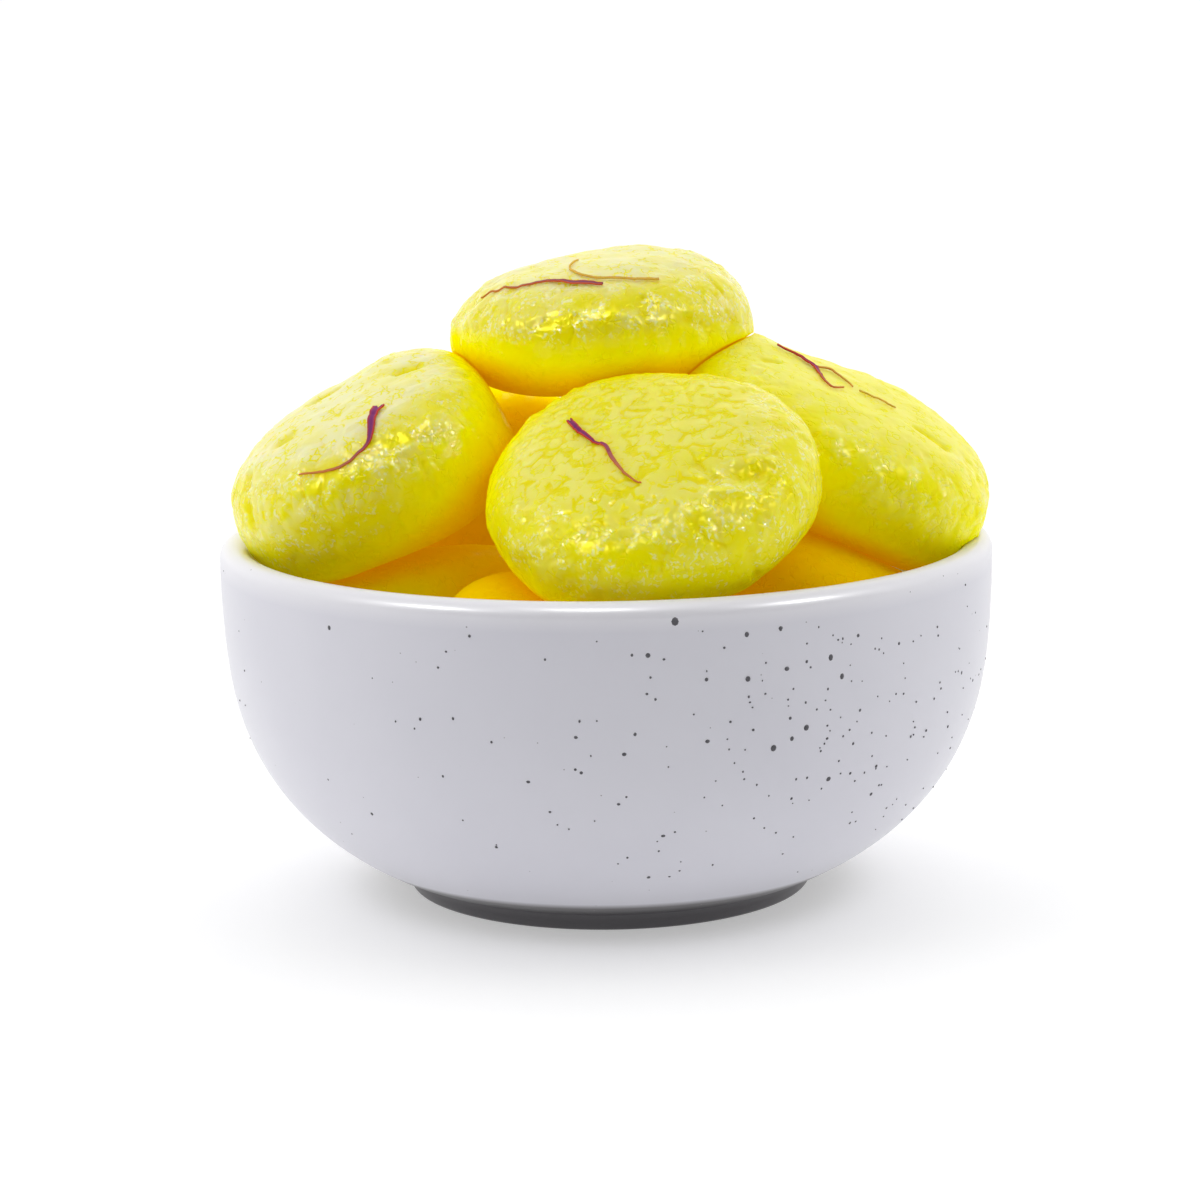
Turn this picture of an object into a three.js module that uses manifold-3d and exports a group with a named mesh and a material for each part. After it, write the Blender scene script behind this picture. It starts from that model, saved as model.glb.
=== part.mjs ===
// A stoneware bowl heaped with round, flattened saffron sweets of pressed curd.
// Millimetres, +Z up. The origin is under the middle of the bowl's foot, and the shown side faces -Y.
import * as THREE from "three";
import { mergeVertices } from "three/addons/utils/BufferGeometryUtils.js";
import Module from "manifold-3d";

const wasm = await Module();
wasm.setup();

// ---- Bowl: driving dimensions ----

const BOWL_RADIUS = 65;
const BOWL_HEIGHT = 60;
const LIP_THICKNESS = 5;
const FOOT_RADIUS = 34.2;
const FOOT_HEIGHT = 3;
const FOOT_RING_WIDTH = 4.5;
const FOOT_RECESS = 1.8;
const FOOT_EDGE = 0.5;
const RECESS_SLOPE = 1;
const FLOOR_HEIGHT = 6;

// A wall in section starts low and flat at its foot and ends upright.
// Belly and sweep set how soon it turns up.
const OUTER_WALL = { low: FOOT_HEIGHT, foot: 35, top: BOWL_RADIUS, reach: 66.2, belly: 3.8, sweep: 1.21 };
const INNER_RADIUS = BOWL_RADIUS - LIP_THICKNESS;
const INNER_WALL = { low: 7.9, foot: 34.2, top: INNER_RADIUS, reach: 64, belly: 3.8, sweep: 1.18 };
const WALL_STEPS = 7;
const WALL_CROWDING = 1.6;
const FLOOR_RINGS = [0.7, 0.4, 0];
const LIP_STEPS = 5;
const BOWL_SIDES = 60;

// The bowl is one piece of stoneware. Its solid is held as four rings that stand on one another, so that
// the collision pieces of each can follow the wall and leave the inside open. Heights where they part:
const FOOT_TOP = 10;
const BELLY_TOP = 22;
const WALL_TOP = 40;
const RING_GAP = 0.3;

// ---- Sweets: driving dimensions ----

// How many sides the mesh of a sweet has: most on the ones in full view, fewest deep in the bowl.
const SIDES_IN_VIEW = 32;
const SIDES_BEHIND = 28;
const SIDES_BELOW = 24;

// at: the middle. lean: degrees that the upright axis leans to +X and to the shown side.
// size: half the length, half the depth and half the height. fullness: how square the side is.
// swells: where the soft body bulges or is pressed in, as degrees round and up, how wide, and by what share.
const SWEETS = {
  top: {
    at: [-0.4, 10, 93.7],
    lean: [-5, 1],
    size: [24.3, 25.5, 12],
    fullness: 2.4,
    sides: SIDES_IN_VIEW,
    swells: [
      { turn: -130, rise: -45, spread: 32, by: -0.09 },
      { turn: 44, rise: 37, spread: 36, by: 0.09 },
      { turn: 176, rise: -1, spread: 18, by: 0.07 },
      { turn: -15, rise: -18, spread: 26, by: 0.09 },
    ],
  },
  front: {
    at: [7.1, -32.5, 71.4],
    lean: [-13, 24],
    size: [27.5, 27, 12.2],
    fullness: 2.5,
    sides: SIDES_IN_VIEW,
    swells: [
      { turn: -161, rise: -17, spread: 30, by: -0.08 },
      { turn: 114, rise: 21, spread: 28, by: 0.08 },
    ],
  },
  left: {
    at: [-38.2, -5, 72],
    lean: [-25.5, 9],
    size: [24.9, 26, 13.6],
    fullness: 2.8,
    sides: SIDES_IN_VIEW,
    swells: [
      { turn: 42, rise: 32, spread: 30, by: 0.1 },
      { turn: 20, rise: 5, spread: 30, by: -0.1 },
      { turn: -101, rise: -42, spread: 30, by: -0.08 },
    ],
  },
  right: {
    at: [38.7, -2, 72.3],
    lean: [25, 7],
    size: [29, 26.5, 12.7],
    fullness: 2.7,
    sides: SIDES_IN_VIEW,
    swells: [
      { turn: 159, rise: 17, spread: 22, by: 0.16 },
      { turn: 59, rise: 42, spread: 32, by: 0.07 },
      { turn: -8, rise: 7, spread: 24, by: -0.07 },
      { turn: -88, rise: -39, spread: 32, by: -0.12 },
    ],
  },
  back_left: {
    at: [-22.5, 38, 57.5],
    lean: [-52, -66],
    size: [25, 25, 12.3],
    fullness: 2.5,
    sides: SIDES_BEHIND,
    swells: [{ turn: 70, rise: 35, spread: 30, by: 0.06 }],
  },
  back_right: {
    at: [16.5, 32.5, 64.5],
    lean: [48, 2],
    size: [25, 25, 12.3],
    fullness: 2.5,
    sides: SIDES_BEHIND,
    swells: [{ turn: 100, rise: 40, spread: 32, by: 0.07 }],
  },
  low_front: {
    at: [-3, -33.5, 42.5],
    lean: [19, 8],
    size: [25.5, 25.5, 12.5],
    fullness: 2.5,
    sides: SIDES_BELOW,
    swells: [],
  },
  low_left: {
    at: [-33.5, 4.5, 42],
    lean: [-15, -21],
    size: [25.5, 25.5, 12.5],
    fullness: 2.5,
    sides: SIDES_BELOW,
    swells: [],
  },
  low_right: {
    at: [33.5, -9.5, 47],
    lean: [24, -10],
    size: [25.5, 25.5, 12.5],
    fullness: 2.5,
    sides: SIDES_BELOW,
    swells: [],
  },
  low_back: {
    at: [8, 30.5, 34],
    lean: [6, -17],
    size: [24.5, 24.5, 12],
    fullness: 2.5,
    sides: SIDES_BELOW,
    swells: [],
  },
  base_left: {
    at: [-23, -19, 22],
    lean: [16, -15],
    size: [25, 25, 12.5],
    fullness: 2.5,
    sides: SIDES_BELOW,
    swells: [],
  },
  base_right: {
    at: [23, -3.5, 19.5],
    lean: [-6.5, -5],
    size: [25, 25, 12.5],
    fullness: 2.5,
    sides: SIDES_BELOW,
    swells: [],
  },
};

// Where two sweets press together, each stops short of the other by this share of its half size.
const PRESSED_CLEARANCE = 0.032;
const BOWL_CLEARANCE = 0.6;
// A pressed skin moves back by at most this share of the way to the middle, found by so many halvings.
const DEEPEST_DENT = 0.7;
const HALVINGS = 20;

// ---- Saffron threads: driving dimensions ----

// Each lies on the upper face of its sweet, from its broad end to its fine end.
// The route is in the sweet's own directions, measured from its middle.
const THREADS = [
  {
    on: "front",
    width: 1.4,
    route: [[-10.6, 8], [-9.1, 4.1], [-6.8, 0], [-4.7, -2.5], [-3.6, -6.3], [-1.8, -10.7], [0.7, -13.7]],
  },
  {
    on: "left",
    width: 1.7,
    route: [[7.7, -12.5], [6.6, -16], [5.8, -19], [4.6, -21.2], [1.8, -22.6], [-1.8, -22.9], [-7.7, -20]],
  },
  {
    on: "top",
    width: 1.2,
    route: [[1.2, -19], [-3.5, -17.3], [-6.3, -14.9], [-12.2, -12.8], [-15.9, -10.1], [-19.4, -7.1]],
  },
  {
    on: "top",
    width: 1,
    route: [[10.5, -16.3], [4.8, -17], [-1.3, -15.5], [-3.5, -12.8], [-4, -9.2], [-2.6, -4]],
  },
  {
    on: "right",
    width: 1.1,
    route: [[-16.6, 4.4], [-13.3, 4], [-10.1, 2.3], [-9.3, 0.3], [-8.6, -4.3], [-7, -7.8], [-4.9, -5]],
  },
  { on: "right", width: 0.8, route: [[-9.2, 2], [-7.1, 2.6], [-6, 1.2], [-3.9, -0.4], [-3.1, -2.4]] },
  { on: "right", width: 0.8, route: [[-2, -3.3], [-0.6, -3.2], [1.4, -3.4], [2.8, -4.6], [4.5, -4.9]] },
];
const THREAD_FINE_END = 0.6;
const THREAD_NARROWS = [0.25, 0.7];
const THREAD_PROUD = 0.5;
const THREAD_SUNK = 0.7;
const THREAD_STEPS = 8;

const MATERIALS = {
  stoneware: new THREE.MeshStandardMaterial({ color: 0xe6e5ec, roughness: 0.45, metalness: 0 }),
  curd: new THREE.MeshStandardMaterial({ color: 0xeee32c, roughness: 0.4, metalness: 0 }),
};

const part = new THREE.Group();

// ---- Bowl ----

function wallRadius(wall, z) {
  const drop = THREE.MathUtils.clamp((wall.reach - z) / (wall.reach - wall.low), 0, 1);
  return wall.foot + (wall.top - wall.foot) * (1 - drop ** wall.belly) ** (1 / wall.sweep);
}

// The floor is dished: level in the middle, it lifts to meet the wall's foot.
function floorHeight(radius) {
  const out = Math.min(radius / INNER_WALL.foot, 1);
  return FLOOR_HEIGHT + (INNER_WALL.low - FLOOR_HEIGHT) * out ** 4;
}

const LIP_RADIUS = LIP_THICKNESS / 2;
const LIP_MIDDLE = new THREE.Vector2(BOWL_RADIUS - LIP_RADIUS, BOWL_HEIGHT - LIP_RADIUS);

// Points of a wall between two heights, closer together towards the foot, where it curves most.
function wallPoints(wall, from, to) {
  const heights = [from];
  for (let step = 1; step < WALL_STEPS; step++) {
    const z = wall.low + (LIP_MIDDLE.y - wall.low) * (step / WALL_STEPS) ** WALL_CROWDING;
    if (z > from + FOOT_EDGE && z < to - FOOT_EDGE) heights.push(z);
  }
  return [...heights, to].map((z) => new THREE.Vector2(wallRadius(wall, z), z));
}

function lipPoints() {
  const points = [];
  for (let step = 0; step <= LIP_STEPS; step++) {
    const turn = (Math.PI * step) / LIP_STEPS;
    const out = new THREE.Vector2(Math.cos(turn), Math.sin(turn)).multiplyScalar(LIP_RADIUS);
    points.push(out.add(LIP_MIDDLE));
  }
  return points;
}

function addBowlRing(name, profile) {
  const geometry = new THREE.LatheGeometry(profile, BOWL_SIDES);
  geometry.rotateX(Math.PI / 2);
  const ring = new THREE.Mesh(geometry, MATERIALS.stoneware);
  ring.name = name;
  part.add(ring);
}

function makeFoot() {
  const underside = [
    new THREE.Vector2(0, FOOT_RECESS),
    new THREE.Vector2(FOOT_RADIUS - FOOT_RING_WIDTH - RECESS_SLOPE, FOOT_RECESS),
    new THREE.Vector2(FOOT_RADIUS - FOOT_RING_WIDTH, 0),
    new THREE.Vector2(FOOT_RADIUS - FOOT_EDGE, 0),
    new THREE.Vector2(FOOT_RADIUS, FOOT_EDGE),
  ];
  const outside = wallPoints(OUTER_WALL, OUTER_WALL.low, FOOT_TOP);
  const inside = wallPoints(INNER_WALL, INNER_WALL.low, FOOT_TOP).reverse();
  const floor = FLOOR_RINGS.map((share) => {
    const radius = INNER_WALL.foot * share;
    return new THREE.Vector2(radius, floorHeight(radius));
  });
  addBowlRing("bowl_foot", [...underside, ...outside, ...inside, ...floor]);
}

function makeWallRing(name, from, to, edge) {
  const outside = wallPoints(OUTER_WALL, from + RING_GAP, to);
  const inside = wallPoints(INNER_WALL, from + RING_GAP, to).reverse();
  addBowlRing(name, [...outside, ...edge, ...inside, outside[0]]);
}

makeFoot();
makeWallRing("bowl_belly", FOOT_TOP, BELLY_TOP, []);
makeWallRing("bowl_wall", BELLY_TOP, WALL_TOP, []);
makeWallRing("bowl_rim", WALL_TOP, LIP_MIDDLE.y, lipPoints().slice(1, -1));

// ---- Sweets ----

function directionOf(turn, rise) {
  const up = new THREE.Vector3(0, 0, 1);
  const side = new THREE.Vector3(0, -1, 0);
  const direction = new THREE.Vector3(1, 0, 0);
  direction.applyAxisAngle(side, THREE.MathUtils.degToRad(rise));
  return direction.applyAxisAngle(up, THREE.MathUtils.degToRad(turn));
}

for (const sweet of Object.values(SWEETS)) {
  const [toRight, toFront] = sweet.lean.map(THREE.MathUtils.degToRad);
  const axis = new THREE.Vector3(Math.tan(toRight), -Math.tan(toFront), 1).normalize();
  const along = new THREE.Vector3(1, 0, 0).addScaledVector(axis, -axis.x).normalize();
  const across = new THREE.Vector3().crossVectors(axis, along);
  sweet.place = new THREE.Matrix4().makeBasis(along, across, axis).setPosition(...sweet.at);
  sweet.unplace = sweet.place.clone().invert();
  for (const swell of sweet.swells) swell.towards = directionOf(swell.turn, swell.rise);
}

function swelling(sweet, point) {
  return sweet.swells.reduce((sum, swell) => {
    const angle = THREE.MathUtils.radToDeg(point.angleTo(swell.towards));
    return sum + swell.by * Math.exp(-((angle / swell.spread) ** 2));
  }, 1);
}

// How far out a point is, in the sweet's own directions: 0 in its middle and 1 on its skin.
function level(sweet, point) {
  const [length, depth, height] = sweet.size;
  const flat = Math.hypot(point.x / length, point.y / depth);
  const tall = Math.abs(point.z) / height;
  const round = (flat ** sweet.fullness + tall ** sweet.fullness) ** (1 / sweet.fullness);
  return round / swelling(sweet, point);
}

// Free space between a point and the bowl's floor, inner wall or lip.
function spaceToBowl(point) {
  const radius = Math.hypot(point.x, point.y);
  if (point.z > LIP_MIDDLE.y) {
    return Math.hypot(radius - LIP_MIDDLE.x, point.z - LIP_MIDDLE.y) - LIP_RADIUS;
  }
  return Math.min(wallRadius(INNER_WALL, point.z) - radius, point.z - floorHeight(radius));
}

function isClear(sweet, point, share) {
  const placed = point.clone().multiplyScalar(share).applyMatrix4(sweet.place);
  if (spaceToBowl(placed) < BOWL_CLEARANCE) return false;
  return Object.values(SWEETS).every((other) => {
    if (other === sweet) return true;
    return level(other, placed.clone().applyMatrix4(other.unplace)) - share >= PRESSED_CLEARANCE;
  });
}

// A soft skin gives way: a point that would touch a neighbour or the bowl moves back towards the middle.
function settle(sweet, point) {
  if (isClear(sweet, point, 1)) return point;
  let inside = 1 - DEEPEST_DENT;
  let outside = 1;
  for (let halving = 0; halving < HALVINGS; halving++) {
    const middle = (inside + outside) / 2;
    if (isClear(sweet, point, middle)) inside = middle;
    else outside = middle;
  }
  return point.multiplyScalar(inside);
}

function sweetGeometry(sweet) {
  const geometry = new THREE.SphereGeometry(1, sweet.sides, sweet.sides / 2).rotateX(Math.PI / 2);
  const positions = geometry.getAttribute("position");
  const point = new THREE.Vector3();
  for (let i = 0; i < positions.count; i++) {
    point.fromBufferAttribute(positions, i).multiply(new THREE.Vector3(...sweet.size));
    point.divideScalar(level(sweet, point));
    settle(sweet, point);
    positions.setXYZ(i, point.x, point.y, point.z);
  }
  return geometry;
}

// ---- Saffron threads ----

// The point of the upper skin that lies over a place measured along and across the sweet.
function onSkin(sweet, along, across) {
  const point = new THREE.Vector3(along, across, 0);
  let low = 0;
  let high = 2 * sweet.size[2];
  for (let halving = 0; halving < HALVINGS; halving++) {
    point.z = (low + high) / 2;
    if (level(sweet, point) < 1) low = point.z;
    else high = point.z;
  }
  return point;
}

function skinNormal(sweet, point) {
  const step = 0.1;
  const slope = ["x", "y", "z"].map((side) => {
    const moved = point.clone();
    moved[side] += step;
    return level(sweet, moved) - level(sweet, point);
  });
  return new THREE.Vector3(...slope).normalize();
}

// A thread is broad at first, and then narrows to a fine stalk.
function threadWidth(thread, share) {
  const narrowing = THREE.MathUtils.smoothstep(share, ...THREAD_NARROWS);
  return THREE.MathUtils.lerp(thread.width, THREAD_FINE_END, narrowing);
}

function threadGeometry(thread) {
  const sweet = SWEETS[thread.on];
  const route = new THREE.CatmullRomCurve3(thread.route.map(([x, y]) => new THREE.Vector3(x, y, 0)));
  const geometry = new THREE.BoxGeometry(1, 1, 1, THREAD_STEPS, 1, 1);
  const positions = geometry.getAttribute("position");
  for (let i = 0; i < positions.count; i++) {
    const share = positions.getX(i) + 0.5;
    const flat = route.getPoint(share);
    const middle = onSkin(sweet, flat.x, flat.y);
    const up = skinNormal(sweet, middle);
    const side = new THREE.Vector3().crossVectors(up, route.getTangent(share)).normalize();
    middle.addScaledVector(side, positions.getY(i) * threadWidth(thread, share));
    middle.addScaledVector(up, positions.getZ(i) > 0 ? THREAD_PROUD : -THREAD_SUNK);
    positions.setXYZ(i, middle.x, middle.y, middle.z);
  }
  return geometry;
}

// Points closer than this are one point, as along the seam of a sphere.
const SEAM_GAP = 1e-4;

function solidOf(geometry) {
  geometry.deleteAttribute("normal");
  geometry.deleteAttribute("uv");
  const merged = mergeVertices(geometry, SEAM_GAP);
  const vertProperties = merged.getAttribute("position").array;
  return new wasm.Manifold(new wasm.Mesh({ numProp: 3, vertProperties, triVerts: merged.index.array }));
}

function geometryOf(solid) {
  const mesh = solid.getMesh();
  const geometry = new THREE.BufferGeometry();
  geometry.setAttribute("position", new THREE.BufferAttribute(mesh.vertProperties, 3));
  geometry.setIndex(new THREE.BufferAttribute(mesh.triVerts, 1));
  geometry.computeVertexNormals();
  return geometry;
}

for (const [name, sweet] of Object.entries(SWEETS)) {
  const threads = THREADS.filter((thread) => thread.on === name);
  let solid = solidOf(sweetGeometry(sweet));
  for (const thread of threads) solid = solid.add(solidOf(threadGeometry(thread)));
  const mesh = new THREE.Mesh(geometryOf(solid), MATERIALS.curd);
  mesh.name = `sweet_${name}`;
  mesh.applyMatrix4(sweet.place);
  part.add(mesh);
}

export default part;
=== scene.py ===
"""A stoneware bowl heaped with saffron sweets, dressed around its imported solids."""
import math
import random

import bmesh
import bpy
import numpy as np
from mathutils import Matrix, Vector, noise


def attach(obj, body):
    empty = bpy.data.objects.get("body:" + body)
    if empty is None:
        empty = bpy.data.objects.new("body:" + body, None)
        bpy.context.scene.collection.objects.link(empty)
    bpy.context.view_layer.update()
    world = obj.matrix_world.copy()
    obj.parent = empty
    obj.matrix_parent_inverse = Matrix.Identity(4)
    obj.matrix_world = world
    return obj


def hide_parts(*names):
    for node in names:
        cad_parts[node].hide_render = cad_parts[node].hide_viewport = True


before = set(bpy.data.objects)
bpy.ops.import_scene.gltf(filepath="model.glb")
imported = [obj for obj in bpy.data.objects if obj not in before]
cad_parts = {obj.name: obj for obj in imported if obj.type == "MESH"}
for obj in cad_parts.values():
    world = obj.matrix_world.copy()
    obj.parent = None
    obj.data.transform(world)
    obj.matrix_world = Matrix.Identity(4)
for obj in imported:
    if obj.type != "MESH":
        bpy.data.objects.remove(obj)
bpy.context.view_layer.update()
MM = 0.001

# ---- Camera ----
# A long lens, a little above the bowl, looks level with the heap from the shown side.

camera_data = bpy.data.cameras.new("camera")
camera_data.lens = 106.8
camera_data.sensor_width = 36
camera_data.clip_start = 0.01
camera_data.clip_end = 30
camera = bpy.data.objects.new("camera", camera_data)
look_down = math.radians(10.83)
away = Vector((0, -math.cos(look_down), math.sin(look_down))) * 604 * MM
camera.matrix_world = (
    Matrix.Translation(Vector((-1.16, 0, 48.3)) * MM + away)
    @ Matrix.Rotation(math.pi / 2 - look_down, 4, "X")
    @ Matrix.Rotation(math.radians(-0.77), 4, "Z")
)
bpy.context.collection.objects.link(camera)
bpy.context.scene.camera = camera

# ---- Floor and light ----
# A white tabletop in a white tent that is open and dark towards the camera. A broad fill stands in front,
# a soft light at each side, a soft one overhead, and three small lamps above put the glints on the syrup.


def add_piece(name, mesh, material):
    piece = bpy.data.objects.new(name, mesh)
    mesh.materials.append(material)
    bpy.context.collection.objects.link(piece)
    return piece


def mesh_from(name, bm):
    mesh = bpy.data.meshes.new(name)
    bm.to_mesh(mesh)
    bm.free()
    return mesh


def new_material(name):
    material = bpy.data.materials.new(name)
    material.use_nodes = True
    return material, material.node_tree.nodes, material.node_tree.links


tabletop_white, nodes, links = new_material("tabletop_white")
nodes["Principled BSDF"].inputs["Base Color"].default_value = (0.7, 0.7, 0.7, 1)
nodes["Principled BSDF"].inputs["Roughness"].default_value = 0.9
nodes["Principled BSDF"].inputs["Specular IOR Level"].default_value = 0.0
nodes["Principled BSDF"].inputs["Emission Color"].default_value = (1, 1, 1, 1)
nodes["Principled BSDF"].inputs["Emission Strength"].default_value = 0.38

bm = bmesh.new()
bmesh.ops.create_grid(bm, x_segments=1, y_segments=1, size=8)
floor = add_piece("tabletop", mesh_from("tabletop", bm), tabletop_white)

surround = bpy.data.worlds.new("surround")
surround.use_nodes = True
bpy.context.scene.world = surround
nodes, links = surround.node_tree.nodes, surround.node_tree.links
heading = nodes.new("ShaderNodeTexCoord")
heading_parts = nodes.new("ShaderNodeSeparateXYZ")
links.new(heading.outputs["Generated"], heading_parts.inputs["Vector"])
opening = nodes.new("ShaderNodeMapRange")
opening.interpolation_type = "SMOOTHSTEP"
opening.inputs["From Min"].default_value = -0.78
opening.inputs["From Max"].default_value = 0.1
opening.inputs["To Min"].default_value = 0.03
opening.inputs["To Max"].default_value = 1.28
links.new(heading_parts.outputs["Y"], opening.inputs["Value"])
links.new(opening.outputs["Result"], nodes["Background"].inputs["Strength"])
nodes["Background"].inputs["Color"].default_value = (1, 1, 1, 1)


def add_softbox(name, at, size, power):
    light = bpy.data.lights.new(name, "AREA")
    light.shape = "RECTANGLE"
    light.size, light.size_y = size
    light.energy = power
    softbox = bpy.data.objects.new(name, light)
    aim = Vector((0, 0, 0.05)) - Vector(at)
    softbox.matrix_world = Matrix.Translation(at) @ aim.to_track_quat("-Z", "Y").to_matrix().to_4x4()
    bpy.context.collection.objects.link(softbox)
    return softbox


fill = add_softbox("light_fill", (0.0, -0.95, 0.42), (0.9, 0.6), 0.5)
fill.visible_glossy = False
add_softbox("light_left", (-0.7, -0.25, 0.4), (0.35, 0.5), 0.8)
add_softbox("light_right", (0.75, 0.05, 0.4), (0.35, 0.5), 0.3)
add_softbox("light_top", (0.0, 0.05, 0.95), (0.6, 0.6), 0.8)
for name, at in (("left", (-0.55, -0.35, 0.6)), ("middle", (-0.05, -0.35, 0.8)), ("right", (0.6, -0.3, 0.55))):
    glint = add_softbox(f"glint_{name}", at, (0.15, 0.12), 5.5)
    glint.visible_diffuse = False

bpy.context.scene.view_settings.view_transform = "Standard"

# ---- Bowl ----
# Thrown stoneware with a rounded lip and a low foot, dipped in a satin white glaze that is faintly
# lavender. It is one body, turned here from its section.

BOWL_RADIUS = 65
BOWL_HEIGHT = 60
LIP_RADIUS = 2.5
FOOT_RADIUS = 34.2
OUTER_WALL = {"low": 3, "foot": 35, "top": BOWL_RADIUS, "reach": 66.2, "belly": 3.8, "sweep": 1.21}
INNER_WALL = {"low": 7.9, "foot": 34.2, "top": 60, "reach": 64, "belly": 3.8, "sweep": 1.18}
LIP_MIDDLE = (BOWL_RADIUS - LIP_RADIUS, BOWL_HEIGHT - LIP_RADIUS)


def wall_radius(wall, z):
    drop = np.clip((wall["reach"] - z) / (wall["reach"] - wall["low"]), 0, 1)
    share = (1 - drop ** wall["belly"]) ** (1 / wall["sweep"])
    return wall["foot"] + (wall["top"] - wall["foot"]) * share


def floor_height(radius):
    return 6 + 1.9 * np.clip(radius / INNER_WALL["foot"], 0, 1) ** 4


def wall_line(wall, steps):
    heights = wall["low"] + (LIP_MIDDLE[1] - wall["low"]) * np.linspace(0, 1, steps, endpoint=False) ** 1.7
    return [(float(wall_radius(wall, z)), float(z)) for z in heights]


def lip_line(steps):
    turns = np.linspace(0, math.pi, steps + 1)
    return [(LIP_MIDDLE[0] + LIP_RADIUS * math.cos(t), LIP_MIDDLE[1] + LIP_RADIUS * math.sin(t)) for t in turns]


underside = [(0, 1.8), (14, 1.8), (27.5, 1.8), (28.7, 1.8), (29.3, 0.5), (29.8, 0), (31.7, 0), (33.6, 0)]
foot_edge = [(33.9, 0.1), (34.2, 0.5), (34.25, 1.6), (34.4, 2.4)]
dish = [(r, float(floor_height(r))) for r in (33, 31, 28, 24, 19, 13, 6, 0)]
section = underside + foot_edge + wall_line(OUTER_WALL, 44) + lip_line(14) + wall_line(INNER_WALL, 30)[::-1] + dish

bm = bmesh.new()
corners = [bm.verts.new(Vector((r, 0, z)) * MM) for r, z in section]
edges = [bm.edges.new(pair) for pair in zip(corners, corners[1:])]
bmesh.ops.spin(
    bm, geom=corners + edges, cent=(0, 0, 0), axis=(0, 0, 1), dvec=(0, 0, 0), angle=math.tau, steps=192, use_merge=True
)
bmesh.ops.remove_doubles(bm, verts=bm.verts, dist=0.01 * MM)
# The potter's hand shows as a faint unevenness of the wall.
for corner in bm.verts:
    out = Vector((corner.co.x, corner.co.y, 0))
    if out.length > 36 * MM:
        sway = noise.noise(Vector((out.x, out.y, corner.co.z * 2.2)) / 0.028)
        corner.co += out.normalized() * sway * 0.12 * MM
bmesh.ops.recalc_face_normals(bm, faces=bm.faces)
bowl_mesh = mesh_from("stoneware_bowl", bm)
bowl_mesh.shade_smooth()

glaze, nodes, links = new_material("satin_glaze")
coat = nodes["Principled BSDF"]
coat.inputs["Roughness"].default_value = 0.38
coat.inputs["Coat Weight"].default_value = 0.25
coat.inputs["Coat Roughness"].default_value = 0.2
place = nodes.new("ShaderNodeTexCoord")
split = nodes.new("ShaderNodeSeparateXYZ")
links.new(place.outputs["Object"], split.inputs["Vector"])

# Below the glaze line the foot is bare grey clay, painted darker still as the shadow where it meets the floor, and the
# lip is painted whiter, partly thinner glaze and partly painted light where it faces up.
clay_and_shadow_line = nodes.new("ShaderNodeMapRange")
clay_and_shadow_line.inputs["From Min"].default_value = 5.6 * MM
clay_and_shadow_line.inputs["From Max"].default_value = 7.0 * MM
links.new(split.outputs["Z"], clay_and_shadow_line.inputs["Value"])

pooling = nodes.new("ShaderNodeTexNoise")
pooling.inputs["Scale"].default_value = 38
pooling.inputs["Detail"].default_value = 3
links.new(place.outputs["Object"], pooling.inputs["Vector"])
glaze_colour = nodes.new("ShaderNodeMix")
glaze_colour.data_type = "RGBA"
glaze_colour.inputs["A"].default_value = (0.615, 0.61, 0.675, 1)
glaze_colour.inputs["B"].default_value = (0.675, 0.67, 0.73, 1)
links.new(pooling.outputs["Fac"], glaze_colour.inputs["Factor"])
clay_and_shadow_or_glaze = nodes.new("ShaderNodeMix")
clay_and_shadow_or_glaze.data_type = "RGBA"
clay_and_shadow_or_glaze.inputs["A"].default_value = (0.085, 0.08, 0.088, 1)
links.new(clay_and_shadow_line.outputs["Result"], clay_and_shadow_or_glaze.inputs["Factor"])
lip_height = nodes.new("ShaderNodeMapRange")
lip_height.inputs["From Min"].default_value = 55.5 * MM
lip_height.inputs["From Max"].default_value = 59 * MM
links.new(split.outputs["Z"], lip_height.inputs["Value"])
lit_lip_or_wall = nodes.new("ShaderNodeMix")
lit_lip_or_wall.data_type = "RGBA"
lit_lip_or_wall.inputs["B"].default_value = (0.8, 0.79, 0.83, 1)
links.new(lip_height.outputs["Result"], lit_lip_or_wall.inputs["Factor"])
links.new(glaze_colour.outputs["Result"], lit_lip_or_wall.inputs["A"])
links.new(lit_lip_or_wall.outputs["Result"], clay_and_shadow_or_glaze.inputs["B"])

# Pin-point iron specks all over, finer than the ones that are laid in as pieces.
specks = nodes.new("ShaderNodeTexVoronoi")
specks.inputs["Scale"].default_value = 260
links.new(place.outputs["Object"], specks.inputs["Vector"])
speck_size = nodes.new("ShaderNodeMath")
speck_size.operation = "LESS_THAN"
speck_size.inputs[1].default_value = 0.035
links.new(specks.outputs["Distance"], speck_size.inputs[0])
speck_colour = nodes.new("ShaderNodeMix")
speck_colour.data_type = "RGBA"
speck_colour.inputs["B"].default_value = (0.3, 0.29, 0.31, 1)
links.new(speck_size.outputs["Value"], speck_colour.inputs["Factor"])
links.new(clay_and_shadow_or_glaze.outputs["Result"], speck_colour.inputs["A"])
links.new(speck_colour.outputs["Result"], coat.inputs["Base Color"])

orange_peel = nodes.new("ShaderNodeTexNoise")
orange_peel.inputs["Scale"].default_value = 420
orange_peel.inputs["Detail"].default_value = 2
links.new(place.outputs["Object"], orange_peel.inputs["Vector"])
peel = nodes.new("ShaderNodeBump")
peel.inputs["Strength"].default_value = 0.12
peel.inputs["Distance"].default_value = 0.15 * MM
links.new(orange_peel.outputs["Fac"], peel.inputs["Height"])
links.new(peel.outputs["Normal"], coat.inputs["Normal"])

bowl = add_piece("stoneware_bowl", bowl_mesh, glaze)
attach(bowl, "root")
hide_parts("bowl_foot", "bowl_belly", "bowl_wall", "bowl_rim")

# ---- Iron specks ----
# Grains of iron in the clay that burnt through the glaze as dark dots, thick on one side of the bowl
# and sparse round the rest. The larger ones are laid in where they lie; the rest are scattered.

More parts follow.
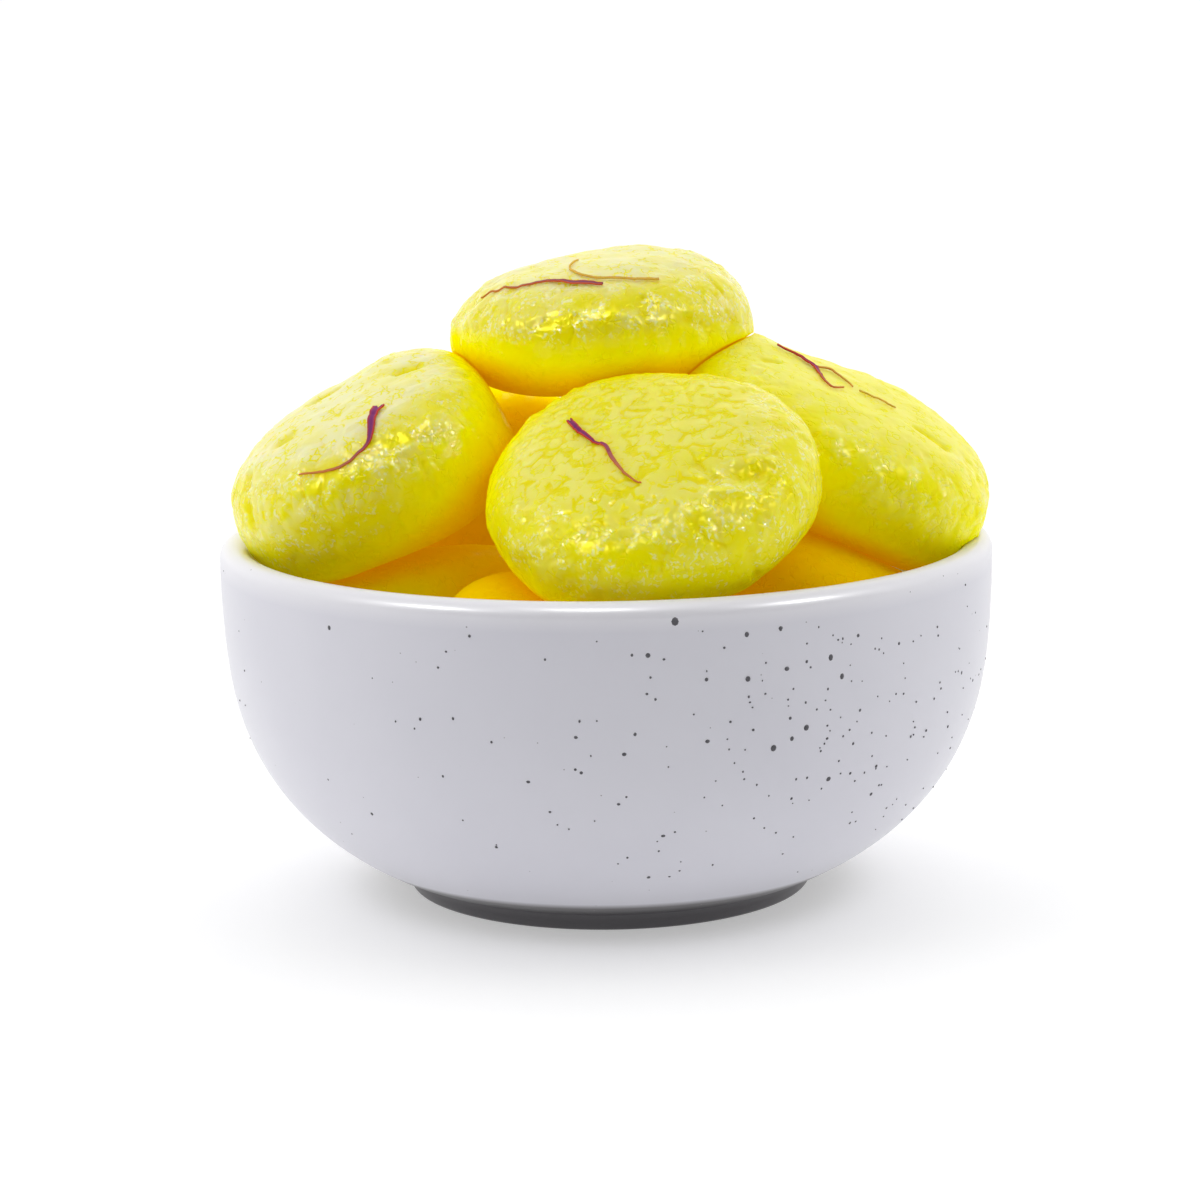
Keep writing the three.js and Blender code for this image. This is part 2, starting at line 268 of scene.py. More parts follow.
# Degrees round from the shown side towards +X, height, and half width.
LARGE_SPECKS = [
    (9, 57.1, 0.45), (32, 49.3, 0.42), (28.5, 38.5, 0.4), (-42, 53.7, 0.36), (34, 46, 0.36), (19, 54.4, 0.34),
    (23.5, 35.8, 0.36), (5.3, 52, 0.36), (19.2, 47.4, 0.3), (24, 54.9, 0.3), (25, 48.4, 0.3), (33.7, 29.1, 0.32),
    (2, 36.4, 0.28), (13.6, 37.9, 0.28), (26.3, 37, 0.28), (8, 22, 0.28), (13.3, 47.8, 0.26), (36.7, 52.1, 0.26),
    (25.8, 40.4, 0.24), (6.5, 13.7, 0.24), (3.5, 39.6, 0.24), (-4.6, 39.2, 0.24), (-11.6, 31.7, 0.24), (-4, 33.4, 0.22),
    (1.2, 28, 0.22), (-47, 27.8, 0.24), (-27, 40.9, 0.2), (44, 24.5, 0.26), (63, 41.1, 0.26), (43, 29.6, 0.24),
]
dice = random.Random(7)


def scatter_speck():
    # Three in four fall on the thickly speckled side.
    if dice.random() < 0.72:
        return dice.gauss(32, 22), dice.triangular(10, 58, 42), dice.uniform(0.1, 0.2)
    return dice.uniform(-180, 180), dice.uniform(6, 58), dice.uniform(0.09, 0.22)


bm = bmesh.new()
for turn, height, half in LARGE_SPECKS + [scatter_speck() for _ in range(230)]:
    radius = float(wall_radius(OUTER_WALL, height)) if height < LIP_MIDDLE[1] else BOWL_RADIUS
    slope = float(wall_radius(OUTER_WALL, height + 0.2) - wall_radius(OUTER_WALL, height - 0.2)) / 0.4
    lie = Matrix.Rotation(math.radians(turn - 90), 4, "Z") @ Matrix.Translation(Vector((radius, 0, height)) * MM)
    lean = Matrix.Rotation(math.atan(slope), 4, "Y")
    shape = Matrix.Diagonal((0.1, 1.3 * half * dice.uniform(0.8, 1.1), 1.3 * half * dice.uniform(0.8, 1.2), 1 / MM))
    bmesh.ops.create_uvsphere(bm, u_segments=8, v_segments=4, radius=1, matrix=lie @ lean @ (shape * MM))
speck_mesh = mesh_from("iron_specks", bm)
speck_mesh.shade_smooth()

iron, nodes, links = new_material("burnt_iron")
nodes["Principled BSDF"].inputs["Roughness"].default_value = 0.5
place = nodes.new("ShaderNodeTexCoord")
burn = nodes.new("ShaderNodeTexNoise")
burn.inputs["Scale"].default_value = 900
links.new(place.outputs["Object"], burn.inputs["Vector"])
burnt = nodes.new("ShaderNodeMix")
burnt.data_type = "RGBA"
burnt.inputs["A"].default_value = (0.02, 0.02, 0.028, 1)
burnt.inputs["B"].default_value = (0.13, 0.125, 0.14, 1)
links.new(burn.outputs["Fac"], burnt.inputs["Factor"])
links.new(burnt.outputs["Result"], nodes["Principled BSDF"].inputs["Base Color"])

iron_specks = add_piece("iron_specks", speck_mesh, iron)
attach(iron_specks, "root")

# ---- Sweets ----
# Fresh curd, kneaded smooth, pressed into thick rounds, simmered in saffron syrup and heaped soft, so
# each gives way where it lies against its neighbours or the bowl. The skin is finely cracked and wet.

# at, lean, size, fullness and swells are those of the solids. cracks and wrinkles are how strong
# each kind of relief is. marks are pits and folds: from, to, half width and depth.
# A sweet's extra shade is painted shade added to what its neighbours give it, and its paleness is dry skin together
# with painted sheen on the face.
SWEETS = {
    "top": {
        "at": (-0.4, 10, 93.7),
        "lean": (-5, 1),
        "size": (24.3, 25.5, 12),
        "fullness": 2.4,
        "swells": [(-130, -45, 32, -0.09), (44, 37, 36, 0.09), (176, -1, 18, 0.07), (-15, -18, 26, 0.09)],
        "cuts": 127,
        "pale": 0.68,
        "sunk": 0.05,
        "cracks": 0.15,
        "wrinkles": 0.8,
        "marks": [
            ((7.9, -21.7, 6.1), (6.4, -23, -5), 1.8, 0.7),
            ((14, -20.4, 2.2), (18, -18.5, 0.5), 1.1, 0.5),
        ],
    },
    "front": {
        "at": (7.1, -32.5, 71.4),
        "lean": (-13, 24),
        "size": (27.5, 27, 12.2),
        "fullness": 2.5,
        "swells": [(-161, -17, 30, -0.08), (114, 21, 28, 0.08)],
        "cuts": 127,
        "pale": 0.42,
        "sunk": 0.25,
        "cracks": 1.0,
        "wrinkles": 0.8,
        "marks": [
            ((16, -13, 9.2), (19, -12, 8), 1.5, 0.7),
            ((11, -16.5, 9), (16, -16.7, 8.2), 0.9, -0.5),
            ((9.5, -11, 11), (12.5, -14.5, 10), 0.8, 0.45),
            ((-18, -13, 7.5), (-19.5, -17, 2), 1.3, 0.45),
            ((-7.5, -24.8, 4.5), (-7.8, -24.5, -4), 0.9, 0.5),
            ((15, -21.5, 1), (15.6, -21, -6.5), 0.9, 0.6),
        ],
    },
    "left": {
        "at": (-38.2, -5, 72),
        "lean": (-25.5, 9),
        "size": (24.9, 26, 13.6),
        "fullness": 2.8,
        "swells": [(42, 32, 30, 0.1), (20, 5, 30, -0.1), (-101, -42, 30, -0.08)],
        "cuts": 127,
        "pale": 1.0,
        "sunk": 0.2,
        "cracks": 0.3,
        "wrinkles": 0.8,
        "marks": [
            ((11, 1, 13.4), (13.5, 1.5, 12.9), 1.2, 0.9),
            ((-5.2, 6.5, 13.5), (-1.2, 8, 13.6), 1.1, 0.7),
            ((-11, -7, 12.8), (-8.8, -7.5, 13), 1.1, 0.55),
            ((-17.5, -9.4, 10.5), (-18.2, -10.5, 9.6), 1.0, 0.5),
            ((-19.2, -13.5, 8), (-19.4, -15, 5), 1.1, 0.5),
            ((8.7, 8, 13.9), (8.7, 8, 13.9), 1.2, 0.4),
            ((11.7, -22.7, 3.3), (10.8, -23.2, -2), 0.7, 0.35),
        ],
    },
    "right": {
        "at": (38.7, -2, 72.3),
        "lean": (25, 7),
        "size": (29, 26.5, 12.7),
        "fullness": 2.7,
        "swells": [(159, 17, 22, 0.16), (59, 42, 32, 0.07), (-8, 7, 24, -0.07), (-88, -39, 32, -0.12)],
        "cuts": 127,
        "pale": 0.95,
        "sunk": 0.35,
        "cracks": 0.3,
        "wrinkles": 0.9,
        "marks": [
            ((8.8, -8.6, 12.2), (13.8, -9.2, 11.4), 1.0, 0.9),
            ((-18.6, -3.8, 11.2), (-16.4, -3, 11.8), 0.7, 0.6),
        ],
    },
    "back_left": {
        "at": (-22.5, 38, 57.5),
        "lean": (-52, -66),
        "size": (25, 25, 12.3),
        "fullness": 2.5,
        "swells": [(70, 35, 30, 0.06)],
        "cuts": 71,
        "pale": 0.5,
        "cracks": 0.6,
        "wrinkles": 0.8,
        "marks": [((4, 9, 12), (9, 7, 12), 1.0, 0.7)],
    },
    "back_right": {
        "at": (16.5, 32.5, 64.5),
        "lean": (48, 2),
        "size": (25, 25, 12.3),
        "fullness": 2.5,
        "swells": [(100, 40, 32, 0.07)],
        "cuts": 71,
        "pale": 0.5,
        "cracks": 0.5,
        "wrinkles": 0.8,
        "marks": [((-3, 12, 12), (2, 14, 12), 1.1, 0.7)],
    },
    "low_front": {"at": (-3, -33.5, 42.5), "lean": (19, 8), "size": (25.5, 25.5, 12.5), "sunk": 0.9},
    "low_left": {"at": (-33.5, 4.5, 42), "lean": (-15, -21), "size": (25.5, 25.5, 12.5), "sunk": 0},
    "low_right": {"at": (33.5, -9.5, 47.6), "lean": (24, -10), "size": (26.2, 26.2, 13.1), "sunk": 0.95},
    "low_back": {"at": (8, 30.5, 34), "lean": (6, -17), "size": (24.5, 24.5, 12)},
    "base_left": {"at": (-23, -19, 22), "lean": (16, -15), "size": (25, 25, 12.5)},
    "base_right": {"at": (23, -3.5, 19.5), "lean": (-6.5, -5), "size": (25, 25, 12.5)},
}
BURIED = {
    "pale": 0.3,
    "fullness": 2.5,
    "swells": [],
    "cuts": 47,
    "cracks": 0.3,
    "wrinkles": 0.3,
    "marks": [],
    "sunk": 0.2,
}
PRESSED_CLEARANCE = 0.012
BOWL_CLEARANCE = 0.25


def unit(vector):
    return vector / np.linalg.norm(vector)


for sweet in SWEETS.values():
    for key, value in BURIED.items():
        sweet.setdefault(key, value)
    to_right, to_front = np.radians(sweet["lean"])
    axis = unit(np.array([math.tan(to_right), -math.tan(to_front), 1]))
    along = unit(np.array([1, 0, 0]) - axis * axis[0])
    sweet["turned"] = np.array([along, np.cross(axis, along), axis])


def to_bowl(sweet, points):
    return points @ sweet["turned"] + np.array(sweet["at"])


def from_bowl(sweet, points):
    return (points - np.array(sweet["at"])) @ sweet["turned"].T


def level(sweet, points):
    """How far out points are, in the sweet's own directions: 0 in its middle and 1 on its skin."""
    size = np.array(sweet["size"])
    spread = points / size
    fullness = sweet["fullness"]
    flat = np.hypot(spread[:, 0], spread[:, 1])
    out = (flat**fullness + np.abs(spread[:, 2]) ** fullness) ** (1 / fullness)
    heading = points / np.maximum(np.linalg.norm(points, axis=1), 1e-9)[:, None]
    swelling = np.ones(len(points))
    for turn, rise, width, by in sweet["swells"]:
        turn, rise = math.radians(turn), math.radians(rise)
        towards = (math.cos(rise) * math.cos(turn), math.cos(rise) * math.sin(turn), math.sin(rise))
        angle = np.degrees(np.arccos(np.clip(heading @ np.array(towards), -1, 1)))
        swelling += by * np.exp(-((angle / width) ** 2))
    return out / swelling


def space_to_bowl(points):
    radius, z = np.hypot(points[:, 0], points[:, 1]), points[:, 2]
    above = np.hypot(radius - LIP_MIDDLE[0], z - LIP_MIDDLE[1]) - LIP_RADIUS
    within = np.minimum(wall_radius(INNER_WALL, z) - radius, z - floor_height(radius))
    return np.where(z > LIP_MIDDLE[1], above, within)


def is_clear(sweet, points, share):
    placed = to_bowl(sweet, points * share[:, None])
    clear = space_to_bowl(placed) >= BOWL_CLEARANCE
    for other in SWEETS.values():
        if other is not sweet:
            clear &= level(other, from_bowl(other, placed)) - share >= PRESSED_CLEARANCE
    return clear


def settled(sweet, points):
    """The share of the way out that each point of the skin keeps where it is pressed."""
    share = np.ones(len(points))
    pressed = np.flatnonzero(~is_clear(sweet, points, share))
    inside, outside = np.full(len(pressed), 0.3), np.ones(len(pressed))
    for _ in range(16):
        middle = (inside + outside) / 2
        clear = is_clear(sweet, points[pressed], middle)
        inside = np.where(clear, middle, inside)
        outside = np.where(clear, outside, middle)
    share[pressed] = inside
    return share


def fade(low, high, values):
    share = np.clip((values - low) / (high - low), 0, 1)
    return share * share * (3 - 2 * share)


def grain(points, size, detail=1):
    """Smooth noise, mostly from -0.5 to 0.5, with grains of that size in millimetres."""
    return np.array([noise.fractal(p, 0.9, 2.1, detail) for p in (points / size).tolist()])


def cell_edges(points, size, width):
    """1 along the cracks between cells of that size, and 0 inside them."""
    nearest = np.array([noise.voronoi(p)[0][:2] for p in (points / size).tolist()])
    return 1 - fade(0, width, nearest[:, 1] - nearest[:, 0])


def bend(points, size, by):
    """The points, carried about by noise, so that straight cracks wander."""
    return points + by * np.array([noise.noise_vector(p)[:] for p in (points / size).tolist()])


def mark_depth(points, marks):
    total = np.zeros(len(points))
    for start, end, width, depth in marks:
        start, run = np.array(start), np.array(end) - np.array(start)
        share = np.clip((points - start) @ run / max(run @ run, 1e-9), 0, 1)
        off = np.linalg.norm(points - start - share[:, None] * run, axis=1)
        total += depth * np.exp(-((off / width) ** 2))
    return total


def skin_of(sweet, points, shift):
    """Relief of the skin in millimetres, outwards, and how pale each point is from dry skin and painted sheen, how
    cracked and how wet it is.
    """
    half_length, half_depth, half_height = sweet["size"]
    flat = np.hypot(points[:, 0] / half_length, points[:, 1] / half_depth)
    rise = points[:, 2] / half_height
    face = (1 - fade(0.62, 0.9, flat)) * (rise > 0)
    shoulder = fade(0.5, 0.8, flat) * fade(-0.45, 0.3, rise)
    side = fade(0.72, 0.95, flat)
    own = points + shift
    # Cells and bumps are drawn out down the side.
    drawn = bend(own, 2.4, 0.8) * (1, 1, 0.62)

    # Short cracks wander over the face, and a crinkled skin of small islands goes round it.
    cracks = cell_edges(drawn, 3.0, 0.24) * fade(-0.08, 0.04, grain(own, 2.2)) * face
    channels = cell_edges(drawn + 57, 1.9, 0.34) * fade(-0.15, 0.2, grain(own + 17, 4.0)) * shoulder
    crack = cracks * sweet["cracks"]
    crinkle = channels * sweet["wrinkles"]
    patches = fade(-0.2, 0.2, grain(own + 61, 6.0))
    bumps = grain(drawn + 5, 1.7) * (0.15 + shoulder * patches) * sweet["wrinkles"]

    # A few thin creases run down the side.
    streaked = bend(own, 5.0, 1.2) * (1, 1, 0.22)
    crease = np.exp(-((grain(streaked, 5.0) / 0.06) ** 2)) * fade(0.0, 0.2, grain(own + 71, 8.0)) * side

    marks = mark_depth(points, sweet["marks"])
    relief = 0.35 * grain(own + 40, 9.0) + 0.3 * grain(own + 45, 4.0) - 0.25 * crack - 0.1 * crinkle + 0.42 * bumps - 0.28 * crease - 1.2 * marks
    # The face is paler: dry skin, together with a painted sheen where it turns up to the light.
    dry_and_sheen = face * (0.85 + 0.5 * grain(own + 23, 5.0)) + 0.4 * shoulder * patches * (1 - channels)
    dry_and_sheen = np.clip(dry_and_sheen, 0, 1) * (1 - np.clip(1.6 * marks, 0, 1)) * sweet["pale"]
    wet = 0.04 + shoulder * fade(-0.05, 0.2, grain(own + 91, 3.0)) + side * fade(0.1, 0.3, grain(own + 101, 2.2))
    return relief, dry_and_sheen, np.clip(crack + 0.5 * crinkle + 0.5 * crease, 0, 1), np.clip(wet, 0, 1)


def shelter_of(sweet, placed, normals):
    """How far neighbours and bowl close in on each point: 0 out in the open and 1 where they press. It also grows lower
    in the bowl and with the sweet's extra shade, and the skin is painted more golden and amber by it as painted shade.
    """
    sky = np.ones(len(placed))
    for other in SWEETS.values():
        if other is sweet:
            continue
        half_length, half_depth, ball = other["size"]
        for turn in np.arange(6) * math.tau / 6:
            middle = np.array([0.52 * half_length * math.cos(turn), 0.52 * half_depth * math.sin(turn), 0])
            way = to_bowl(other, middle) - placed
            distance = np.maximum(np.linalg.norm(way, axis=1), ball)
            facing = np.clip((way * normals).sum(axis=1) / distance, 0, 1)
            sky *= 1 - 0.8 * facing * (ball / distance) ** 2
    depth = fade(66, 40, placed[:, 2])
    nearness = np.exp(-np.maximum(space_to_bowl(placed), 0) / 4)
    return 1 - sky * (1 - 0.5 * depth) * (1 - 0.2 * nearness) * (1 - sweet["sunk"])


curd, nodes, links = new_material("saffron_curd")
flesh = nodes["Principled BSDF"]
flesh.inputs["Specular Tint"].default_value = (1, 0.84, 0.04, 1)
flesh.inputs["Subsurface Weight"].default_value = 0.66
flesh.inputs["Subsurface Radius"].default_value = (1.0, 0.7, 0.08)
flesh.inputs["Subsurface Scale"].default_value = 7 * MM
flesh.inputs["Coat Roughness"].default_value = 0.12
skin = nodes.new("ShaderNodeAttribute")
skin.attribute_name = "skin"
parts = nodes.new("ShaderNodeSeparateColor")
links.new(skin.outputs["Color"], parts.inputs["Color"])
place = nodes.new("ShaderNodeTexCoord")
mottle = nodes.new("ShaderNodeTexNoise")
mottle.inputs["Scale"].default_value = 520
mottle.inputs["Detail"].default_value = 4
links.new(place.outputs["Object"], mottle.inputs["Vector"])


def tint(factor, under, over):
    mix = nodes.new("ShaderNodeMix")
    mix.data_type = "RGBA"
    links.new(factor, mix.inputs["Factor"])
    for socket, colour in (("A", under), ("B", over)):
        if isinstance(colour, tuple):
            mix.inputs[socket].default_value = (*colour, 1)
        else:
            links.new(colour, mix.inputs[socket])
    return mix.outputs["Result"]


wet_yellow = tint(mottle.outputs["Fac"], (0.83, 0.74, 0.0), (0.84, 0.79, 0.001))
# The pale yellow of the face stands for dry skin and painted sheen together.
dry_and_sheen_yellow = tint(mottle.outputs["Fac"], (0.82, 0.8, 0.42), (0.83, 0.82, 0.72))

# Cracks too fine for the mesh break up the pale skin and let the moist yellow under it show.
sway = nodes.new("ShaderNodeTexNoise")
sway.inputs["Scale"].default_value = 420
links.new(place.outputs["Object"], sway.inputs["Vector"])
wander = nodes.new("ShaderNodeVectorMath")
wander.operation = "MULTIPLY_ADD"
wander.inputs[1].default_value = (1.3 * MM, 1.3 * MM, 1.3 * MM)
links.new(sway.outputs["Color"], wander.inputs[0])
links.new(place.outputs["Object"], wander.inputs[2])
islands = nodes.new("ShaderNodeTexVoronoi")
islands.feature = "DISTANCE_TO_EDGE"
islands.inputs["Scale"].default_value = 700
links.new(wander.outputs["Vector"], islands.inputs["Vector"])


def ramp(value, low, high, start, end):
    step = nodes.new("ShaderNodeMapRange")
    step.interpolation_type = "SMOOTHSTEP"
    step.inputs["From Min"].default_value = low
    step.inputs["From Max"].default_value = high
    step.inputs["To Min"].default_value = start
    step.inputs["To Max"].default_value = end
    links.new(value, step.inputs["Value"])
    return step.outputs["Result"]


def product(first, second):
    times = nodes.new("ShaderNodeMath")
    times.operation = "MULTIPLY"
    links.new(first, times.inputs[0])
    links.new(second, times.inputs[1])
    return times.outputs["Value"]


broken = nodes.new("ShaderNodeTexNoise")
broken.inputs["Scale"].default_value = 430
broken.inputs["Detail"].default_value = 1
links.new(place.outputs["Object"], broken.inputs["Vector"])
fine_crack = product(ramp(islands.outputs["Distance"], 0, 0.14, 1, 0), ramp(broken.outputs["Fac"], 0.47, 0.6, 0, 1))
grains = nodes.new("ShaderNodeTexNoise")
grains.inputs["Scale"].default_value = 1500
grains.inputs["Detail"].default_value = 1
links.new(wander.outputs["Vector"], grains.inputs["Vector"])
# Pale flecks on the wet shoulder are curd grains together with painted glints.
grain_and_glint_flecks = ramp(grains.outputs["Fac"], 0.53, 0.66, 0, 1)
whole = ramp(fine_crack, 0, 1, 1, 0)
surface = tint(product(parts.outputs["Red"], whole), wet_yellow, dry_and_sheen_yellow)
cracked = tint(ramp(parts.outputs["Green"], 0.25, 0.6, 0, 1), surface, (0.82, 0.73, 0.0))
cracked = tint(fine_crack, cracked, (0.84, 0.78, 0.0))
cracked = tint(product(grain_and_glint_flecks, skin.outputs["Alpha"]), cracked, (0.87, 0.86, 0.4))
# Where neighbours and the bowl close in, the skin turns golden and then deep amber: painted shade.
shaded = tint(ramp(parts.outputs["Blue"], 0.15, 0.5, 0, 1), cracked, (0.9, 0.84, 0.0))
painted_shade_amber = tint(ramp(parts.outputs["Blue"], 0.58, 1.0, 0, 1), shaded, (0.88, 0.54, 0.0))
links.new(painted_shade_amber, flesh.inputs["Base Color"])

# A faint glow in the skin's own colour, strongest where neighbours close in: painted light that lifts the sides that
# neighbours shade.
links.new(ramp(parts.outputs["Blue"], 0.1, 0.7, 0, 0.12), flesh.inputs["Emission Strength"])
links.new(painted_shade_amber, flesh.inputs["Emission Color"])

# Syrup lies on the wet parts as a smooth film.
links.new(ramp(parts.outputs["Red"], 0, 1, 0.26, 0.5), flesh.inputs["Roughness"])
links.new(ramp(skin.outputs["Alpha"], 0, 1, 0, 0.4), flesh.inputs["Coat Weight"])
links.new(ramp(parts.outputs["Blue"], 0, 0.5, 0.4, 0), flesh.inputs["Specular IOR Level"])

pores = nodes.new("ShaderNodeTexNoise")
pores.inputs["Scale"].default_value = 1500
pores.inputs["Detail"].default_value = 3
links.new(place.outputs["Object"], pores.inputs["Vector"])
texture = nodes.new("ShaderNodeBump")
texture.inputs["Strength"].default_value = 0.3
texture.inputs["Distance"].default_value = 0.12 * MM
links.new(pores.outputs["Fac"], texture.inputs["Height"])
furrows = nodes.new("ShaderNodeBump")
furrows.invert = True
furrows.inputs["Distance"].default_value = 0.07 * MM
links.new(texture.outputs["Normal"], furrows.inputs["Normal"])
links.new(fine_crack, furrows.inputs["Height"])
domes = nodes.new("ShaderNodeBump")
links.new(ramp(skin.outputs["Alpha"], 0, 1, 0.12, 1), domes.inputs["Strength"])
domes.inputs["Distance"].default_value = 0.3 * MM
links.new(grains.outputs["Fac"], domes.inputs["Height"])
links.new(texture.outputs["Normal"], domes.inputs["Normal"])
links.new(furrows.outputs["Normal"], flesh.inputs["Normal"])
links.new(domes.outputs["Normal"], flesh.inputs["Coat Normal"])

for number, (name, sweet) in enumerate(SWEETS.items()):
    sweet["shift"] = np.array([13.0, 7.0, 3.0]) * number
    bm = bmesh.new()
    bmesh.ops.create_cube(bm, size=1)
    cuts = sweet["cuts"]
    bmesh.ops.subdivide_edges(bm, edges=bm.edges, cuts=cuts, use_grid_fill=True)
    mesh = mesh_from(f"curd_{name}", bm)
    mesh.shade_smooth()
    count = len(mesh.vertices)
    flat_list = np.empty(count * 3)
    mesh.vertices.foreach_get("co", flat_list)
    # Corners of a cube's grid, spread evenly round a ball and out to the sweet's skin.
    points = np.tan(flat_list.reshape(-1, 3) * math.pi / 2) * np.array(sweet["size"])
    points /= level(sweet, points)[:, None]
    share = settled(sweet, points)
    base = to_bowl(sweet, points * share[:, None])
    mesh.vertices.foreach_set("co", (base * MM).ravel())
    mesh.update()
    normals = np.empty(count * 3)
    mesh.vertex_normals.foreach_get("vector", normals)
    normals = normals.reshape(-1, 3)
    shelter = shelter_of(sweet, base, normals)
    relief, dry_and_sheen, crack, wet = skin_of(sweet, points, sweet["shift"])
    free = np.where(share < 1, 0, 1 - shelter**3)
    placed = base + normals * (relief * free)[:, None]
    mesh.vertices.foreach_set("co", (placed * MM).ravel())
    mesh.update()
    skin_layer = mesh.color_attributes.new("skin", "FLOAT_COLOR", "POINT")
    colours = np.stack([dry_and_sheen * (1 - shelter), crack * free, shelter, wet * free], axis=1)
    skin_layer.data.foreach_set("color", colours.ravel())
    piece = add_piece(f"curd_{name}", mesh, curd)
    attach(piece, "root")
    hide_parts(f"sweet_{name}")

# ---- Saffron threads ----
# Dried stigmas of the crocus, laid on while the sweets are wet: flat and trumpet-shaped at one end,
# drawn out to a fine stalk at the other. Each clings to the skin that it lies on.

# Each: the sweet it lies on, how bleached it is, its widths at even steps from the broad end, how deep
# the broad end is notched, and its route along and across the sweet.
THREADS = {
    "front": (
        "front",
        0,
        (0.9, 1.0, 0.85, 0.45, 0.62, 0.66, 0.5, 0.28, 0.14),
        0.35,
        [(-10.6, 8), (-9.1, 4.1), (-6.8, 0), (-4.7, -2.5), (-3.6, -6.3), (-1.8, -10.7), (0.7, -13.7)],
    ),
    "left": (
        "left",
        0,
        (2.1, 1.4, 1.3, 0.9, 0.45, 0.3, 0.3, 0.28, 0.16),
        0.6,
        [(7.7, -12.5), (6.6, -16), (5.8, -19), (4.6, -21.2), (1.8, -22.6), (-1.8, -22.9), (-7.7, -20)],
    ),
    "top_near": (
        "top",
        0.1,
        (0.55, 0.85, 0.8, 0.6, 0.42, 0.3, 0.26, 0.22, 0.12),
        0.2,
        [(1.2, -19), (-3.5, -17.3), (-6.3, -14.9), (-12.2, -12.8), (-15.9, -10.1), (-19.4, -7.1)],
    ),
    "top_far": (
        "top",
        0.85,
        (0.3, 0.32, 0.34, 0.34, 0.32, 0.3, 0.28, 0.24, 0.16),
        0,
        [(10.5, -16.3), (4.8, -17), (-1.3, -15.5), (-3.5, -12.8), (-4, -9.2), (-2.6, -4)],
    ),
    "right_long": (
        "right",
        0,
        (0.3, 0.45, 0.9, 1.0, 0.7, 0.45, 0.3, 0.24, 0.14),
        0.2,
        [(-16.6, 4.4), (-13.3, 4), (-10.1, 2.3), (-9.3, 0.3), (-8.6, -4.3), (-7, -7.8), (-4.9, -5)],
    ),
    "right_branch": (
        "right",
        0.6,
        (0.3, 0.4, 0.42, 0.36, 0.3, 0.24, 0.16),
        0,
        [(-9.2, 2), (-7.1, 2.6), (-6, 1.2), (-3.9, -0.4), (-3.1, -2.4)],
    ),
    "right_faint": (
        "right",
        0.95,
        (0.2, 0.26, 0.26, 0.22, 0.16),
        0,
        [(-2, -3.3), (-0.6, -3.2), (1.4, -3.4), (2.8, -4.6), (4.5, -4.9)],
    ),
}


def along_route(route, share):
    """A smooth way through the route's points, at shares from 0 to 1."""
    stops = np.array(route)
    stops = np.vstack([2 * stops[0] - stops[1], stops, 2 * stops[-1] - stops[-2]])
    reach = share * (len(route) - 1)
    first = np.minimum(reach.astype(int), len(route) - 2)
    t = (reach - first)[:, None]
    before, start, end, after = (stops[first + k] for k in range(4))
    bow = 2 * before - 5 * start + 4 * end - after
    return 0.5 * (2 * start + (end - before) * t + bow * t**2 + (3 * start - before - 3 * end + after) * t**3)


def on_skin(sweet, flat):
    """The points of the upper skin over places measured along and across the sweet."""
    low, high = np.zeros(len(flat)), np.full(len(flat), 2.0 * sweet["size"][2])
    for _ in range(20):
        middle = (low + high) / 2
        within = level(sweet, np.column_stack([flat, middle])) < 1
        low, high = np.where(within, middle, low), np.where(within, high, middle)
    return np.column_stack([flat, low])


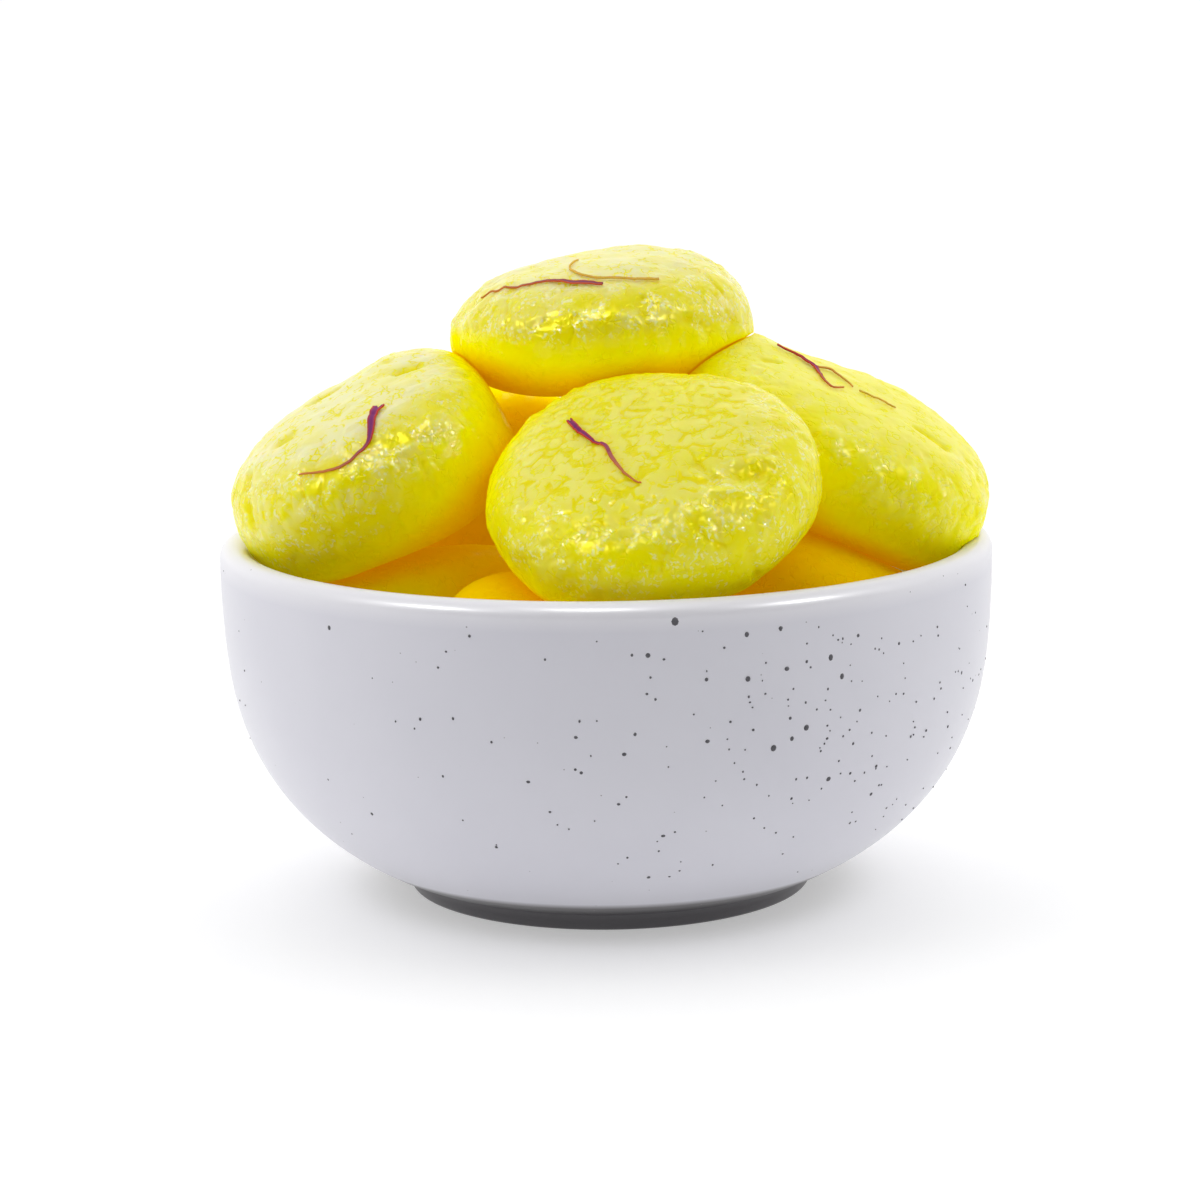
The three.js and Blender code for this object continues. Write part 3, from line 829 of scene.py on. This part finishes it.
saffron, nodes, links = new_material("dried_saffron")
strand = nodes["Principled BSDF"]
strand.inputs["Roughness"].default_value = 0.7
strand.inputs["Specular IOR Level"].default_value = 0.15
strand.inputs["Subsurface Weight"].default_value = 0.15
strand.inputs["Subsurface Radius"].default_value = (1.0, 0.2, 0.25)
strand.inputs["Subsurface Scale"].default_value = 0.3 * MM
lie = nodes.new("ShaderNodeAttribute")
lie.attribute_name = "strand"
parts = nodes.new("ShaderNodeSeparateColor")
links.new(lie.outputs["Color"], parts.inputs["Color"])
petal = tint(parts.outputs["Green"], (0.19, 0.012, 0.14), (0.6, 0.05, 0.02))
stalk = tint(parts.outputs["Red"], petal, (0.6, 0.2, 0.04))
bleached = tint(parts.outputs["Blue"], stalk, (0.78, 0.5, 0.04))
links.new(bleached, strand.inputs["Base Color"])

for name, (sweet_name, pallor, widths, notch, route) in THREADS.items():
    sweet = SWEETS[sweet_name]
    bm = bmesh.new()
    bmesh.ops.create_grid(bm, x_segments=72, y_segments=8, size=1)
    mesh = mesh_from(f"saffron_{name}", bm)
    mesh.shade_smooth()
    count = len(mesh.vertices)
    flat_list = np.empty(count * 3)
    mesh.vertices.foreach_get("co", flat_list)
    grid = flat_list.reshape(-1, 3)
    share, aside = (grid[:, 0] + 1) / 2, grid[:, 1]
    share = share + (1 - share) ** 12 * notch / 20 * (1.6 * np.abs(aside - 0.15) < 0.5)
    centre = along_route(route, share)
    ahead = along_route(route, np.minimum(share + 0.01, 1)) - along_route(route, np.maximum(share - 0.01, 0))
    across = np.column_stack([-ahead[:, 1], ahead[:, 0]]) / np.linalg.norm(ahead, axis=1)[:, None]
    half = np.interp(share, np.linspace(0, 1, len(widths)), widths) / 2
    spread = centre + across * (aside * half)[:, None]
    skin_points = on_skin(sweet, spread)
    relief = skin_of(sweet, on_skin(sweet, centre), sweet["shift"])[0]
    skin_points[:, 2] += relief + 0.3 + 0.15 * aside**2 * (1 - fade(0.2, 0.6, share))
    placed = to_bowl(sweet, skin_points)
    mesh.vertices.foreach_set("co", (placed * MM).ravel())
    strand_layer = mesh.color_attributes.new("strand", "FLOAT_COLOR", "POINT")
    worn = np.clip(np.abs(aside) ** 3, 0, 1)
    colours = np.stack([fade(0.35, 1, share), worn, np.full(count, pallor), np.ones(count)], axis=1)
    strand_layer.data.foreach_set("color", colours.ravel())
    mesh.update()
    piece = add_piece(f"saffron_{name}", mesh, saffron)
    body = piece.modifiers.new("body", "SOLIDIFY")
    body.thickness = 0.28 * MM
    body.offset = 0
    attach(piece, "root")
